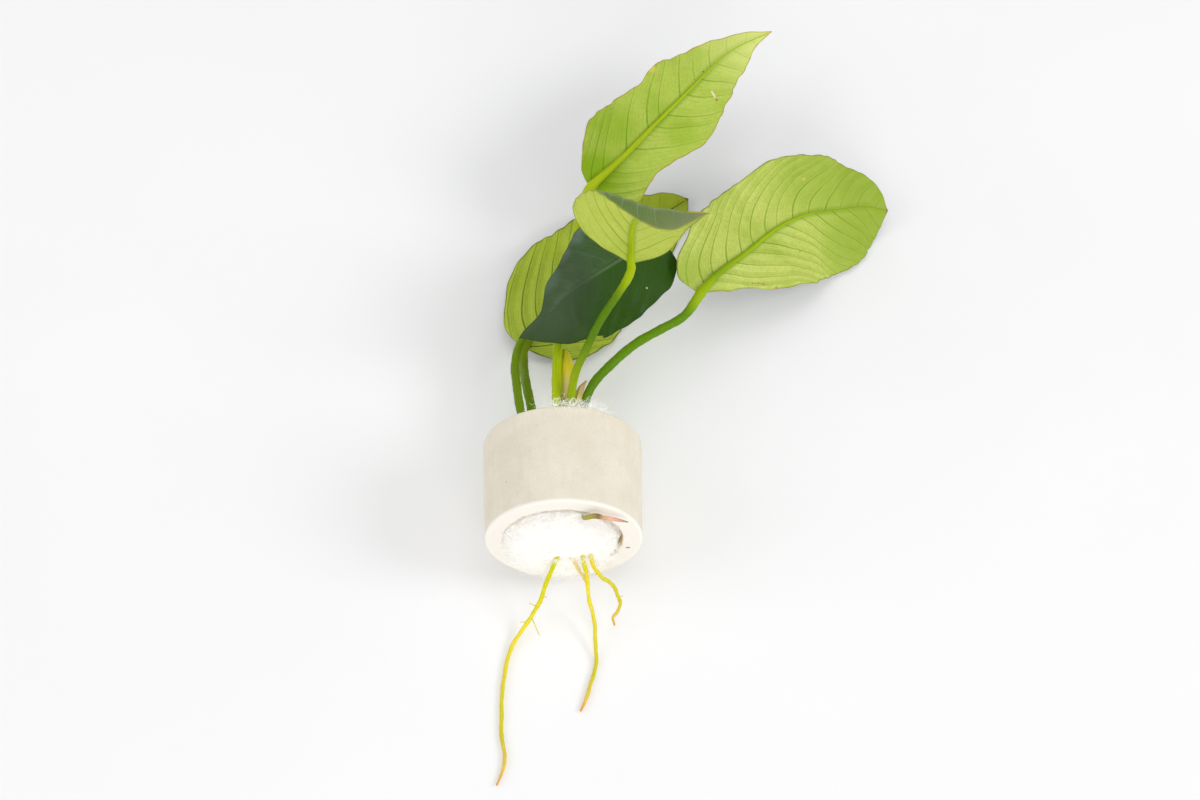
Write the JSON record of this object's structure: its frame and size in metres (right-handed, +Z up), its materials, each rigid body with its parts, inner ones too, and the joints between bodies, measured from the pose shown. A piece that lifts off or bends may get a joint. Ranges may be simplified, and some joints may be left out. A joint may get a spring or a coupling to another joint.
{
  "type": "anubias in a ceramic plant ring",
  "caption": "Anubias plant with broad leaves, its roots held by filter wool in a short hollow ceramic ring, lying on its side.",
  "frame": {"origin": "middle of the footprint of the lying plant, on the surface that it rests on", "axes": "+Z up; +Y along the ring's axis from the roots towards the leaves; +X to the right when looking from the roots towards the leaves"},
  "size_m": [0.1368, 0.267, 0.0926],
  "materials": {
    "ceramic": "unglazed, fine grained, matte cream",
    "wool": "white filter wool, fuzzy",
    "rhizome": "plant tissue, green, satin",
    "stem": "plant tissue, green, satin",
    "leaf": "leaf, light green underside, satin",
    "leaf_upper_side": "leaf, dark green upper side, glossy",
    "sheath": "young sheath, yellow, satin",
    "dry_scale": "dry papery scale, beige",
    "root": "root, yellow green, satin",
    "pale_root": "root, pale orange, satin",
    "shoot": "young shoot, olive to pink"
  },
  "bodies": {
    "root": {"ceramic_ring": "ceramic", "wool_plug": "wool", "rhizome": "rhizome", "stem_top": "stem", "stem_right": "stem", "stem_folded": "stem", "stem_dark": "stem", "stem_back": "stem", "leaf_top": "leaf", "leaf_right": "leaf", "leaf_folded": "leaf", "leaf_dark": "leaf_upper_side", "leaf_back": "leaf", "leaf_sheath": "sheath", "dry_scale": "dry_scale", "root_long": "root", "root_middle": "root", "root_short": "root", "root_pale": "pale_root", "side_shoot": "shoot"}
  },
  "joints": []
}
